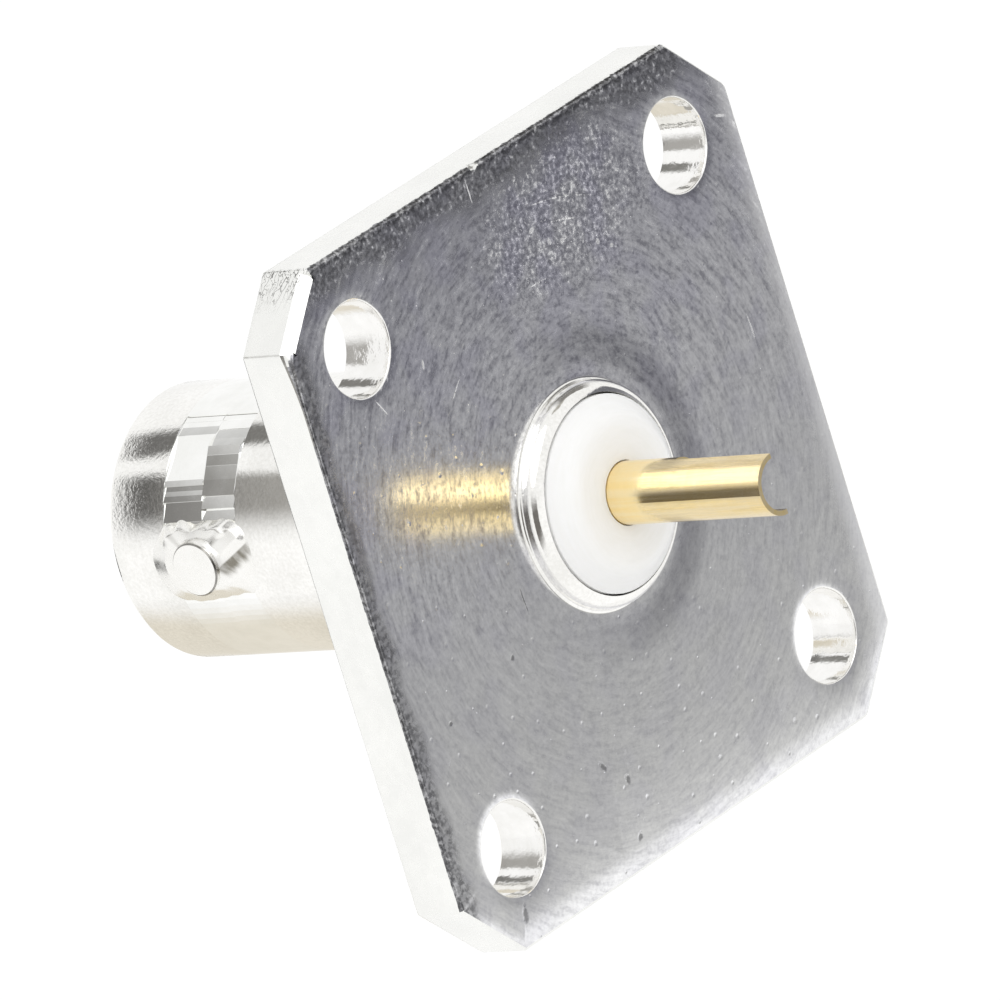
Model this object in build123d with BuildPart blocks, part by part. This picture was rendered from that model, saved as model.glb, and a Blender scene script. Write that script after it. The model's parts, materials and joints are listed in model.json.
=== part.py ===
from build123d import *
from math import radians, sqrt, tan
import os

# Flange-mount bayonet coaxial receptacle with a solder-cup tail, in millimetres.
# The connector's axis is Y. The origin is at the centre of the flange face that
# lies on the panel. The mating barrel points to -Y and the solder cup to +Y.

# Square flange
flange_side = 25.1
flange_thickness = 2.05
corner_cut = 2.5
filed_corner_cut = 2.2
flange_edge_break = 0.1
filed_corner_break = 0.35
bolt_to_edge = 3.4
bolt_hole_diameter = 3.3
bolt_hole_break = 0.07

# Bayonet barrel, open at the end that mates
barrel_diameter = 9.6
barrel_length = 16.0
barrel_foot_radius = 0.2
mouth_wall = 0.74
mouth_depth = 8.4
mouth_lead_in = 0.25
mouth_edge_radius = 0.2

# Bayonet lugs, and the band milled round the barrel that leaves them standing
lug_to_mouth = 4.2
lug_height = 0.7
lug_diameter = 1.94
lug_straight_height = 0.2
lug_edge_break = 0.06
lug_foot_length = 4.2
lug_foot_width = 3.3
lug_foot_sink = 0.03
lug_waist_length = 2.7
lug_waist_width = 2.3
band_width = 3.3
band_depth = 0.1

# Web between the mating cavity and the insulator seat
web_thickness = 1.0

# Collar round the insulator on the back of the flange
collar_wall = 0.46
collar_height = 0.7
collar_lip = 0.06
collar_bore_break = 0.05

# Insulators: the front one carries the nose, the rear one closes the back
insulator_diameter = 6.84
insulator_edge_break = 0.15
nose_diameter = 4.7
nose_to_mouth = 3.1
nose_edge_break = 0.2
joint_to_panel = 3.2
rear_edge_above_collar = 0.05
rear_face_diameter = 5.2
rear_face_rise = 0.66
rear_face_round = 1.0

# Centre contact: a slotted socket in front, a collar and a solder cup behind
socket_diameter = 2.1
socket_to_mouth = 3.4
socket_bore_diameter = 1.37
socket_bore_depth = 5.2
socket_lead_in = 0.15
slot_width = 0.2
slot_length = 3.6
contact_collar_diameter = 3.6
contact_collar_length = 1.2
tail_diameter = 2.2
tail_length = 6.75
cup_bore_diameter = 1.85
cup_bore_depth = 5.0
cup_opening_length = 4.2
drill_point_angle = 118

# Clearances of the fits, on the radius
insulator_fit = 0.05
contact_fit = 0.03

# Places along the axis
mouth_y = -barrel_length
shoulder_y = mouth_y + mouth_depth
web_back_y = shoulder_y + web_thickness
lug_y = mouth_y + lug_to_mouth
nose_tip_y = mouth_y + nose_to_mouth
socket_tip_y = mouth_y + socket_to_mouth
joint_y = -joint_to_panel
collar_y = flange_thickness + collar_height
rear_edge_y = collar_y + rear_edge_above_collar
rear_face_y = rear_edge_y + rear_face_rise
tail_tip_y = rear_face_y + tail_length

# Radii of the turned surfaces, and the spacing of the screw holes
bolt_hole_r = bolt_hole_diameter / 2
bolt_spacing = flange_side - 2 * bolt_to_edge
barrel_r = barrel_diameter / 2
band_r = barrel_r - band_depth
mouth_r = barrel_r - mouth_wall
insulator_r = insulator_diameter / 2
seat_r = insulator_r + insulator_fit
collar_r = seat_r + collar_wall
collar_edge_radius = collar_wall - collar_lip
nose_r = nose_diameter / 2
nose_hole_r = nose_r + insulator_fit
socket_r = socket_diameter / 2
contact_collar_r = contact_collar_diameter / 2
tail_r = tail_diameter / 2

# Places across the axis where a lug starts, narrows and ends
lug_r = lug_diameter / 2
lug_top_x = barrel_r + lug_height
lug_shank_x = lug_top_x - lug_straight_height
lug_foot_x = barrel_r - lug_foot_sink
lug_waist_x = (lug_foot_x + lug_shank_x) / 2
lug_root_x = sqrt(band_r**2 - (lug_foot_width / 2) ** 2) - band_depth

os.makedirs("parts", exist_ok=True)


def rounds_at(part, y):
    """The round edges of a part that lie across the axis at y, smallest first."""
    rounds = part.edges().filter_by(GeomType.CIRCLE)
    return rounds.filter_by_position(Axis.Y, y, y).sort_by(SortBy.RADIUS)


def blind_hole(tip_y, into, radius, depth):
    """Half section of a drilled hole that starts at tip_y and runs into +Y or -Y."""
    point = radius / tan(radians(drill_point_angle / 2))
    return [
        (0, tip_y),
        (radius, tip_y),
        (radius, tip_y + into * depth),
        (0, tip_y + into * (depth + point)),
    ]


# Lug: a short round pin on a flared foot that is longer along the barrel than across
with BuildPart() as lug:
    with BuildSketch(Plane.YZ.offset(lug_foot_x)):
        with Locations((lug_y, 0)):
            Ellipse(lug_foot_length / 2, lug_foot_width / 2)
    with BuildSketch(Plane.YZ.offset(lug_waist_x)):
        with Locations((lug_y, 0)):
            Ellipse(lug_waist_length / 2, lug_waist_width / 2)
    with BuildSketch(Plane.YZ.offset(lug_shank_x)):
        with Locations((lug_y, 0)):
            Circle(lug_r)
    loft()
    extrude(faces().sort_by(Axis.X)[-1], amount=lug_straight_height)
    extrude(faces().sort_by(Axis.X)[0], amount=lug_foot_x - lug_root_x)
    chamfer(edges().sort_by(Axis.X)[-1], length=lug_edge_break)

# Body: flange, barrel, lugs and rear collar, turned and milled from one bar
with BuildPart() as body:
    with BuildSketch(Plane.XZ):
        Rectangle(flange_side, flange_side)
        corners = vertices().sort_by_distance((flange_side, flange_side))
        chamfer(corners[0], length=filed_corner_cut)
        chamfer(corners[1:], length=corner_cut)
    extrude(amount=-flange_thickness)

    # Every edge of the flange is broken, one corner of the back more heavily
    filed_corner = (flange_side / 2, flange_thickness, flange_side / 2)
    chamfer(edges().sort_by_distance(filed_corner)[0], length=filed_corner_break)
    rims = faces().filter_by(Axis.Y).edges().sort_by_distance(filed_corner)
    chamfer(rims[1:], length=flange_edge_break)

    # Turned outline of the barrel, with its milled band, and of the rear collar
    with BuildSketch(Plane.XY):
        with BuildLine():
            Polyline(
                (0, mouth_y),
                (barrel_r, mouth_y),
                (barrel_r, lug_y - band_width / 2),
                (band_r, lug_y - band_width / 2),
                (band_r, lug_y + band_width / 2),
                (barrel_r, lug_y + band_width / 2),
                (barrel_r, flange_thickness / 2),
                (collar_r, flange_thickness / 2),
                (collar_r, collar_y),
                (0, collar_y),
                close=True,
            )
        make_face()
    revolve(axis=Axis.Y)
    fillet(rounds_at(body, 0), radius=barrel_foot_radius)
    fillet(rounds_at(body, collar_y), radius=collar_edge_radius)
    fillet(rounds_at(body, mouth_y), radius=mouth_edge_radius)
    add(lug.part)
    mirror(lug.part, about=Plane.YZ)

    # Mating cavity, nose hole through the web, and insulator seat
    with BuildSketch(Plane.XY):
        with BuildLine():
            Polyline(
                (0, mouth_y),
                (mouth_r, mouth_y),
                (mouth_r, shoulder_y),
                (nose_hole_r, shoulder_y),
                (nose_hole_r, web_back_y),
                (seat_r, web_back_y),
                (seat_r, collar_y),
                (0, collar_y),
                close=True,
            )
        make_face()
    revolve(axis=Axis.Y, mode=Mode.SUBTRACT)
    chamfer(rounds_at(body, mouth_y)[0], length=mouth_lead_in)
    chamfer(rounds_at(body, collar_y)[0], length=collar_bore_break)

    # Holes for the four screws
    with BuildSketch(Plane.XZ):
        with GridLocations(bolt_spacing, bolt_spacing, 2, 2):
            Circle(bolt_hole_r)
    extrude(amount=-flange_thickness, mode=Mode.SUBTRACT)
    hole_rims = edges(Select.LAST).filter_by(GeomType.CIRCLE)
    chamfer(hole_rims, length=bolt_hole_break)

# Front insulator: a nose that reaches into the mating cavity, on a seated shank
with BuildPart() as front_insulator:
    with BuildSketch(Plane.XY):
        with BuildLine():
            Polyline(
                (socket_r + contact_fit, nose_tip_y),
                (nose_r, nose_tip_y),
                (nose_r, web_back_y),
                (insulator_r, web_back_y),
                (insulator_r, joint_y),
                (contact_collar_r + contact_fit, joint_y),
                (contact_collar_r + contact_fit, joint_y - contact_collar_length),
                (socket_r + contact_fit, joint_y - contact_collar_length),
                close=True,
            )
        make_face()
    revolve(axis=Axis.Y)
    chamfer(rounds_at(front_insulator, nose_tip_y)[-1], length=nose_edge_break)
    chamfer(rounds_at(front_insulator, web_back_y)[-1], length=insulator_edge_break)

# Rear insulator: closes the seat, with a raised rear face round the contact
with BuildPart() as rear_insulator:
    with BuildSketch(Plane.XY):
        with BuildLine():
            Polyline(
                (tail_r + contact_fit, joint_y),
                (insulator_r, joint_y),
                (insulator_r, rear_edge_y),
                (rear_face_diameter / 2, rear_face_y),
                (tail_r + contact_fit, rear_face_y),
                close=True,
            )
        make_face()
    revolve(axis=Axis.Y)
    fillet(rounds_at(rear_insulator, rear_face_y)[-1], radius=rear_face_round)

# Centre contact: socket, collar and tail, turned from one bar and then drilled
with BuildPart() as center_contact:
    with BuildSketch(Plane.XY):
        with BuildLine():
            Polyline(
                (0, socket_tip_y),
                (socket_r, socket_tip_y),
                (socket_r, joint_y - contact_collar_length),
                (contact_collar_r, joint_y - contact_collar_length),
                (contact_collar_r, joint_y),
                (tail_r, joint_y),
                (tail_r, tail_tip_y),
                (0, tail_tip_y),
                close=True,
            )
        make_face()
    revolve(axis=Axis.Y)
    with BuildSketch(Plane.XY):
        with BuildLine():
            Polyline(
                blind_hole(socket_tip_y, 1, socket_bore_diameter / 2, socket_bore_depth),
                close=True,
            )
        make_face()
        with BuildLine():
            Polyline(
                blind_hole(tail_tip_y, -1, cup_bore_diameter / 2, cup_bore_depth),
                close=True,
            )
        make_face()
    revolve(axis=Axis.Y, mode=Mode.SUBTRACT)
    chamfer(rounds_at(center_contact, socket_tip_y)[0], length=socket_lead_in)

    # Two crossed saw cuts make four spring fingers of the socket
    with BuildSketch(Plane.XZ.offset(-socket_tip_y)):
        with PolarLocations(0, 2, angular_range=180):
            Rectangle(2 * socket_diameter, slot_width)
    extrude(amount=-slot_length, mode=Mode.SUBTRACT)

    # The half of the solder cup that faces -X is cut away for the wire
    with BuildSketch(Plane.XZ.offset(-tail_tip_y)):
        Rectangle(tail_diameter, 2 * tail_diameter, align=(Align.MAX, Align.CENTER))
    extrude(amount=cup_opening_length, mode=Mode.SUBTRACT)

pieces = {
    "body": body,
    "front_insulator": front_insulator,
    "rear_insulator": rear_insulator,
    "center_contact": center_contact,
}
for name, piece in pieces.items():
    piece.part.label = name
    export_step(piece.part, f"parts/{name}.step")
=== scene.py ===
import bmesh
import bpy
import json
import math
from functools import partial
from mathutils import Matrix, Vector, noise


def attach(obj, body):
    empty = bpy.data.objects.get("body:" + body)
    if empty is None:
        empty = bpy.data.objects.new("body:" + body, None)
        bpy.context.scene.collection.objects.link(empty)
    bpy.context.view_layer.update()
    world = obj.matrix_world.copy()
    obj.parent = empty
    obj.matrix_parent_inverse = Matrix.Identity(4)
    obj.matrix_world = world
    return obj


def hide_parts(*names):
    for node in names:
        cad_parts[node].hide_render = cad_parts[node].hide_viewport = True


# Flange-mount bayonet receptacle. The connector's axis is Y, the panel side of the flange lies at
# y = 0 and the solder cup points to +Y. The frame is in metres, the sizes below are in millimetres.
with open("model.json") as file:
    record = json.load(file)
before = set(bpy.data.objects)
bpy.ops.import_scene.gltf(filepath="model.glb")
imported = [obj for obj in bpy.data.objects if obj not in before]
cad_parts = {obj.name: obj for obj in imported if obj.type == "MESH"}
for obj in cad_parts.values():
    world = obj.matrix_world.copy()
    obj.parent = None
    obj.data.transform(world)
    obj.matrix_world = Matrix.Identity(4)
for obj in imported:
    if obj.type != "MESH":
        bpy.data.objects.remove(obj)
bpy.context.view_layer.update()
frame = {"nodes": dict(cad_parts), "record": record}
mm = 0.001
scene = bpy.context.scene
scene.view_settings.view_transform = "Standard"
mounts = {mount["name"]: mount for mount in frame["record"]["mounts"]}
print("frame loaded:", sorted(frame["nodes"]))


# Shared helpers

def linearColour(hexText):
    parts = [int(hexText[i:i + 2], 16) / 255 for i in (1, 3, 5)]
    return [p / 12.92 if p <= 0.04045 else ((p + 0.055) / 1.055) ** 2.4 for p in parts] + [1.0]


# What a second word in a node's kind sets
nodeChoice = {"Math": "operation", "VectorMath": "operation", "MapRange": "interpolation_type",
              "Mix": "data_type", "TexVoronoi": "feature", "Mapping": "vector_type"}


# Adds one node and returns one of its outputs. Its inputs are numbers, hex colours and other nodes'
# outputs, in the order of its sockets or by name. Stops are places and colours on a colour ramp.
def addNode(tree, kind, inputs=(), out=0, stops=(), **settings):
    kind, *choice = kind.split()
    node = tree.nodes.new("ShaderNode" + kind)
    if choice:
        settings[nodeChoice[kind]] = choice[0]
    for name, value in settings.items():
        setattr(node, name, value)
    for key, value in inputs.items() if isinstance(inputs, dict) else enumerate(inputs):
        if isinstance(value, bpy.types.NodeSocket):
            tree.links.new(value, node.inputs[key])
        else:
            node.inputs[key].default_value = linearColour(value) if isinstance(value, str) else value
    for _ in stops[2:]:
        node.color_ramp.elements.new(0.5)
    for (place, hexText), element in zip(stops, node.color_ramp.elements if stops else ()):
        element.position = place
        element.color = linearColour(hexText)
    return node.outputs[out] if node.outputs else None


# A new empty material, and what adds nodes to it
def newMaterial(name):
    material = bpy.data.materials.new(name)
    material.use_nodes = True
    material.node_tree.nodes.clear()
    return material, partial(addNode, material.node_tree)


def setMaterials(obj, *materials):
    if len(obj.data.materials):          # clearing an empty list would reset the slots of the faces
        obj.data.materials.clear()
    for material in materials:
        obj.data.materials.append(material)


# Makes an object of a mesh drawn in millimetres, smooth but for edges sharper than the angle
# and the faces in flatSlots
def objectFrom(bm, name, sharpDegrees=32, flatSlots=()):
    bmesh.ops.recalc_face_normals(bm, faces=bm.faces)
    for face in bm.faces:
        face.smooth = face.material_index not in flatSlots
    for edge in bm.edges:
        if len(edge.link_faces) == 2 and edge.calc_face_angle() > math.radians(sharpDegrees):
            edge.smooth = False
    mesh = bpy.data.meshes.new(name)
    bm.to_mesh(mesh)
    bm.free()
    mesh.transform(Matrix.Scale(mm, 4))
    obj = bpy.data.objects.new(name, mesh)
    scene.collection.objects.link(obj)
    weighted = obj.modifiers.new("evenShading", "WEIGHTED_NORMAL")
    weighted.keep_sharp = True
    return obj


def ringOf(bm, radius, y, count, centre=(0, 0), waver=None):
    verts = []
    for i in range(count):
        turn = 2 * math.pi * i / count
        r = radius + (waver(turn) if waver else 0)
        verts.append(bm.verts.new((centre[0] + r * math.cos(turn), y, centre[1] + r * math.sin(turn))))
    return verts


def bridge(bm, first, second, slot):
    count = len(first)
    for i in range(count):
        j = (i + 1) % count
        face = bm.faces.new((first[i], first[j], second[j], second[i]))
        face.material_index = slot(i) if callable(slot) else slot


def loopEdges(bm, loop):
    pairs = zip(loop, loop[1:] + loop[:1])
    return [bm.edges.get(pair) or bm.edges.new(pair) for pair in pairs]


# Fills a flat face that is bounded by one outer loop and the rims of its holes
def fillFace(bm, loops, slot):
    edges = [edge for loop in loops for edge in loopEdges(bm, loop)]
    filled = bmesh.ops.triangle_fill(bm, use_beauty=True, edges=edges)
    for piece in filled["geom"]:
        if isinstance(piece, bmesh.types.BMFace):
            piece.material_index = slot


# Silver-plated body: flange, barrel, lugs and rear collar

bodySizes = {
    "side": 25.1, "thickness": 2.05,        # flange
    "cornerCut": 2.5, "filedCornerCut": 2.2,
    "edgeBreak": 0.1, "filedBreak": 0.35,   # filedBreak is the wide bevel on the +X +Z corner
    "filedFade": 2.2,                       # how far it runs out down the +X side
    "bevelEnd": (0.45, 0.17),               # where its bright face ends, and how much sooner each row in
    "cornerRounding": (0.1, 0.1, 0.3, 0.5, 0.4, 0.4, 0.2, 0.2),       # from the filed corner on round
    "rimPointSpacing": 0.05, "rimWidth": 0.45, "flatSide": (0.3, 1.6),
    "ding": {"x": 1.0, "halfWidth": 0.22, "depth": 0.08},            # a knock in the top edge
    "burredBelow": 7,                       # below this height on the +X side the broken edge, where burrs hang over it, takes the face's painted shade
    "raggedTop": 0.13, "raggedSide": 0.05, "raggedElsewhere": 0.012,   # how far burrs eat into the face
    "burrTop": 0.2, "burrSide": 0.05,                                # and how far they hang over the side
    "rollOffLow": 0.05, "rollOffFar": 0.04, "rollOffWidth": 0.95,     # worn back edge at -Z and at -X
    "holeBreak": 0.07, "holePoints": 96,
    "holeDishWidth": 0.42, "holeDishDepth": 0.03,  # the face sinks a little towards each screw hole
    "barrel": 9.6, "length": 16.0, "mouthWall": 0.74, "mouthDepth": 8.4,
    "mouthLeadIn": 0.25, "mouthRound": 0.2, "footRound": 0.2,
    "web": 1.0, "noseHole": 4.8, "seat": 6.94,
    "collarWall": 0.46, "collarHeight": 0.7, "collarLip": 0.06, "collarBreak": 0.05,
    "collarFootRound": 0.14,
    "rimTurn": 70, "rimStretch": 1.25,      # degrees the rim's section turns, and its depth over its radius
    "undercutTo": 6.3, "undercutDepth": 0.03,       # shallow dish that facing leaves round the collar
    "bandWidth": 3.3, "bandDepth": 0.1, "bandSplit": 1.78,            # the split is between its two passes
    "roundPoints": 240,
}
# shadedEdgeSlot carries a painted dark line of shade
facedSlot, milledSlot, turnedSlot, bandSlot, boreSlot, shadedEdgeSlot = range(6)


# Lug: a short round pin on a milled foot. The foot slopes down to the mouth like a cone, hollows out
# towards the flange, and has a straight bar on it that was left between two passes of the cutter.
lugSizes = {
    "toMouth": 4.2, "height": 0.7, "diameter": 1.94, "straight": 0.2, "break": 0.055,
    "shy": 0.01,                            # how far its top stays inside the solids' box
    "rootX": 4.2, "sink": 0.03,             # the root is in the barrel's wall, the foot dips under the band
    "fullFrom": 1.2, "fullOver": 0.45,      # from the pin along the axis, where the foot climbs the barrel
    "footReach": [                          # degrees from +Y towards +Z, mm from the pin's axis
        (0, 2.15), (14, 2.2), (28, 2.22), (48, 2.02), (70, 1.6), (99, 1.38), (124, 1.88), (146, 2.18),
        (175, 2.4), (205, 2.32), (231, 2.0), (250, 1.8), (270, 1.6), (290, 1.65), (312, 2.0), (335, 2.15),
    ],
    "coneRise": 0.27, "coneWidth": 0.56, "coneSlope": 0.08,
    "coneFacing": (188, 40, 30), "stepFacing": (92, 46, 26),         # degrees: middle, half width, softness
    "barTurn": 32, "barWidth": 0.7, "barSoft": 0.16, "barHigh": 0.52, "barFall": 0.26, "barTop": 0.85,
    "turnedBy": 2.0,                        # degrees that both lugs are turned against the flange
    "rings": 44, "points": 320,
}


def smoothStep(value):
    value = min(1, max(0, value))
    return value * value * (3 - 2 * value)


# How near a direction is to the middle one, from 1 within half to 0 at half + soft
def nearTurn(degrees, middle, half, soft):
    away = abs((degrees - middle + 180) % 360 - 180)
    return smoothStep((half + soft - away) / soft)


# The foot's reach in one direction, on a smooth curve through the measured ones
def footReachAt(degrees, table):
    for index, (turn, reach) in enumerate(table):
        nextTurn, nextReach = table[(index + 1) % len(table)]
        span = (nextTurn - turn) % 360
        past = (degrees - turn) % 360
        if past < span:
            share = (1 - math.cos(math.pi * past / span)) / 2
            return reach + (nextReach - reach) * share
    return table[0][1]


# Height of the foot as a share of the way up to the pin's straight wall, which is room mm. inward
# runs from 0 at the foot's edge to 1 at the pin.
def footHeight(inward, reach, degrees, sizes, room):
    wall = smoothStep((inward - 0.9) / 0.1)
    cone = sizes["coneRise"] * min(1, inward / sizes["coneWidth"]) + sizes["coneSlope"] * inward
    cone = min(1, cone / room)
    cone += (1 - cone) * wall
    step = 0.6 * smoothStep(inward / 0.4) + 0.1 * inward + 0.3 * wall
    hollow = inward ** 2
    height = hollow + (cone - hollow) * nearTurn(degrees, *sizes["coneFacing"])
    height += (step - height) * nearTurn(degrees, *sizes["stepFacing"])
    turn = math.radians(degrees - sizes["barTurn"])
    across, along = reach * math.sin(turn), reach * math.cos(turn)
    if along > 0:
        bar = (sizes["barHigh"] - sizes["barFall"] * max(0, along - 0.9)) / sizes["barHigh"]
        share = smoothStep((sizes["barWidth"] / 2 + sizes["barSoft"] - abs(across)) / sizes["barSoft"] / 2)
        height += max(0, bar * sizes["barTop"] - height) * share * smoothStep(inward / 0.2)
    return height


def buildLug(side):
    sizes = lugSizes
    barrelR = bodySizes["barrel"] / 2
    bandR = barrelR - bodySizes["bandDepth"]
    topX = barrelR + sizes["height"] - sizes["shy"]
    shankX = topX - sizes["straight"]
    lugY = -bodySizes["length"] + sizes["toMouth"]
    pinR = sizes["diameter"] / 2
    turn = Matrix.Rotation(math.radians(-sizes["turnedBy"]), 4, "Y")
    bm = bmesh.new()
    levels = [("root", 0.0)] + [("foot", k / sizes["rings"]) for k in range(sizes["rings"] + 1)]
    levels += [("pin", topX - sizes["break"]), ("top", topX)]
    rings = []
    for kind, value in levels:
        ring = []
        for i in range(sizes["points"]):
            angle = 2 * math.pi * i / sizes["points"]
            degrees = math.degrees(angle)
            footR = footReachAt(degrees, sizes["footReach"])
            r = pinR - (sizes["break"] if kind == "top" else 0)
            if kind in ("root", "foot"):
                r = footR + (pinR - footR) * value
            along, across = r * math.cos(angle), r * math.sin(angle)
            if kind == "root":
                x = sizes["rootX"]
            elif kind == "foot":
                # the foot's edge lies on the milled band, and past its ends on the full barrel
                past = (abs(footR * math.cos(angle)) - sizes["fullFrom"]) / sizes["fullOver"]
                base = bandR + bodySizes["bandDepth"] * smoothStep(past)
                sunkX = math.sqrt(base ** 2 - across ** 2) - (sizes["sink"] if value == 0 else 0)
                room = shankX - sunkX
                x = sunkX + room * footHeight(value, r, degrees, sizes, room)
            else:
                x = value
            ring.append(bm.verts.new(turn @ Vector((x, lugY + along, across))))
        rings.append(ring)
    # the ring round the pin's top break gets the second material, a painted dark line of shade
    for first, second in zip(rings, rings[1:]):
        bridge(bm, first, second, 1 if second is rings[-1] else 0)
    bm.faces.new(rings[-1])
    bm.faces.new(rings[0])
    if side < 0:
        bmesh.ops.rotate(bm, cent=(0, 0, 0), matrix=Matrix.Rotation(math.pi, 3, "Y"), verts=bm.verts)
    return objectFrom(bm, "lug_right" if side > 0 else "lug_left", sharpDegrees=44)


lugs = [buildLug(side) for side in (1, -1)]
print("lugs:", len(lugs))


# Outline of the flange, shrunk by inset, as points with their outward direction in the plane XZ.
# It runs +X side, filed corner, +Z side and on round, with the same number of points at any inset.
def flangeOutline(sizes, inset=0.0):
    half = sizes["side"] / 2
    signs = [(1, 1), (-1, 1), (-1, -1), (1, -1)]

    def polygon(shrink):
        corners = []
        for index, (sx, sz) in enumerate(signs):
            cut = (sizes["cornerCut"] if index else sizes["filedCornerCut"]) - shrink * (2 - math.sqrt(2))
            reach = half - shrink
            ends = [(sx * reach, sz * (reach - cut)), (sx * (reach - cut), sz * reach)]
            corners += ends if index % 2 == 0 else ends[::-1]
        return [Vector(corner) for corner in corners]

    full, shrunk = polygon(0), polygon(inset)
    points = []
    for i in range(8):                               # every corner turns by 45 degrees
        radius = sizes["cornerRounding"][i]
        reach = radius * math.tan(math.pi / 8)
        nextReach = sizes["cornerRounding"][(i + 1) % 8] * math.tan(math.pi / 8)
        before, here, after = shrunk[i - 1], shrunk[i], shrunk[(i + 1) % 8]
        into, out = (here - before).normalized(), (after - here).normalized()
        firstNormal = Vector((into.y, -into.x))
        centre = here - into * reach - firstNormal * radius
        for k in range(5):
            normal = Matrix.Rotation(math.pi / 4 * k / 4, 2) @ firstNormal
            points.append((centre + normal * radius, normal))
        parts = round((full[(i + 1) % 8] - full[i]).length / sizes["rimPointSpacing"])
        start, stop = here + out * reach, after - out * nextReach
        normal = Vector((out.y, -out.x))
        for k in range(1, parts):
            points.append((start.lerp(stop, k / parts), normal))
    return points


# How deep burrs and dings eat into the rim at a point, from 0 to 1
def ragged(place, seed, grain=0.35):
    fine = noise.noise(Vector((place.x / grain, place.y / grain, seed)))
    coarse = noise.noise(Vector((place.x / grain / 5, place.y / grain / 5, seed + 9)))
    return max(0.0, min(1.0, 0.35 + 0.9 * fine + 0.5 * coarse))


# How far the worn back edge has sunk on this side of the flange
def rollOff(normal, sizes):
    return sizes["rollOffLow"] * max(0, -normal.y) ** 2 + sizes["rollOffFar"] * max(0, -normal.x) ** 2


# 1 along the corner that was filed, fading out a little way down the +X side
def filedShare(place, normal, sizes):
    cutEnd = sizes["side"] / 2 - sizes["filedCornerCut"]
    if normal.x > 0.3 and normal.y > 0.02:
        return min(1, (place.y - cutEnd + 0.4) / 0.4, (sizes["side"] / 2 - place.y + 0.02) / 0.1)
    if normal.x > 0.9:
        return max(0, 1 - (cutEnd - place.y) / sizes["filedFade"]) ** 1.5
    return 0.0


# Burrs hang over the +X side from a little below its filed corner
def burrShare(place):
    return min(1, max(0.1, (9 - place.y) / 6))


# 1 in the middle of the knock in the top edge, 0 beside it
def dingShare(place):
    ding = bodySizes["ding"]
    return max(0, 1 - abs(place.x - ding["x"]) / ding["halfWidth"]) if place.y > 12 else 0


def buildFlangeRim(bm, sizes):
    thick = sizes["thickness"]
    outline = flangeOutline(sizes)
    rings = []
    for k in range(4):                               # from the panel face out to the side
        swing = k / 3 * math.pi / 2
        ring = []
        for place, normal in outline:
            size = sizes["edgeBreak"]
            bite = sizes["raggedElsewhere"] * ragged(place, 7.0) * (1 - k / 3)
            spot = place - normal * (size * (1 - math.sin(swing)) + bite)
            ring.append(bm.verts.new((spot.x, size * (1 - math.cos(swing)), spot.y)))
        rings.append(ring)
    for y in sizes["flatSide"]:
        rings.append([bm.verts.new((place.x, y, place.y)) for place, normal in outline])
    for k in range(5):                               # from the side in to the back face
        share = k / 4
        swing = share * math.pi / 2
        ring = []
        for place, normal in outline:
            filed = filedShare(place, normal, sizes)
            size = sizes["edgeBreak"] + (sizes["filedBreak"] - sizes["edgeBreak"]) * filed
            # past the filed corner the bevel grows steeper as it runs out
            inset = size * (filed ** 4 * share + (1 - filed) * (1 - math.cos(swing)))
            drop = size * (filed * (1 - share) + (1 - filed) * (1 - math.sin(swing)))
            top, far = max(0, normal.y) ** 6 * (1 - filed), max(0, normal.x) ** 6 * burrShare(place)
            ding = sizes["ding"]["depth"] * dingShare(place)
            bite = max(sizes["raggedTop"] * top, sizes["raggedSide"] * far, sizes["raggedElsewhere"])
            burr = sizes["burrTop"] * top + sizes["burrSide"] * far
            spot = place - normal * (inset + (bite * ragged(place, 3.0, 0.22) + ding) * share)
            hang = ragged(place, 5.0, 0.1) * (0.35 + 0.65 * ragged(place, 8.0, 0.5))
            drop += burr * hang * (1 - share) ** 2 + rollOff(normal, sizes) + ding * (1 - share)
            ring.append(bm.verts.new((spot.x, thick - drop, spot.y)))
        rings.append(ring)
    # the worn edge rises to the flat of the back face
    for inset, worn in ((sizes["rimWidth"], 0.3), (sizes["rollOffWidth"], 0)):
        rings.append([bm.verts.new((place.x, thick - worn * rollOff(normal, sizes), place.y))
                      for place, normal in flangeOutline(sizes, inset)])

    # the broken edge belongs to the dark face and its painted shade where burrs hang over it, and to the
    # sides elsewhere. On the +X side, above the burrs, the filed bevel ends in steps, with a painted dark
    # line of shade below it.
    def slotAt(index, i):
        place, normal = outline[i]
        onFar = normal.x > 0.98
        burred = (normal.y > 0.98 or onFar and place.y < sizes["burredBelow"]) and dingShare(place) == 0
        if index < 6:
            return milledSlot
        if onFar and not burred:
            end, sooner = sizes["bevelEnd"]
            below = sizes["side"] / 2 - sizes["filedCornerCut"] - place.y
            bright = below < end - sooner * (index - 7)
            return shadedEdgeSlot if index == 6 else milledSlot if bright else facedSlot
        return facedSlot if burred or index > 9 else milledSlot

    for index, (first, second) in enumerate(zip(rings, rings[1:])):
        bridge(bm, first, second, lambda i: slotAt(index, i))
    # a plain ring in the panel face, since a fill from the ragged one would leave slivers
    inner = [bm.verts.new((place.x, 0, place.y))
             for place, normal in flangeOutline(sizes, sizes["rimWidth"])]
    bridge(bm, inner, rings[0], facedSlot)
    return inner, rings[-1]


def arcPoints(centre, radius, start, stop, steps):
    turns = [math.radians(start + (stop - start) * k / steps) for k in range(steps + 1)]
    return [(centre[0] + radius * math.cos(t), centre[1] + radius * math.sin(t)) for t in turns]


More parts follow.
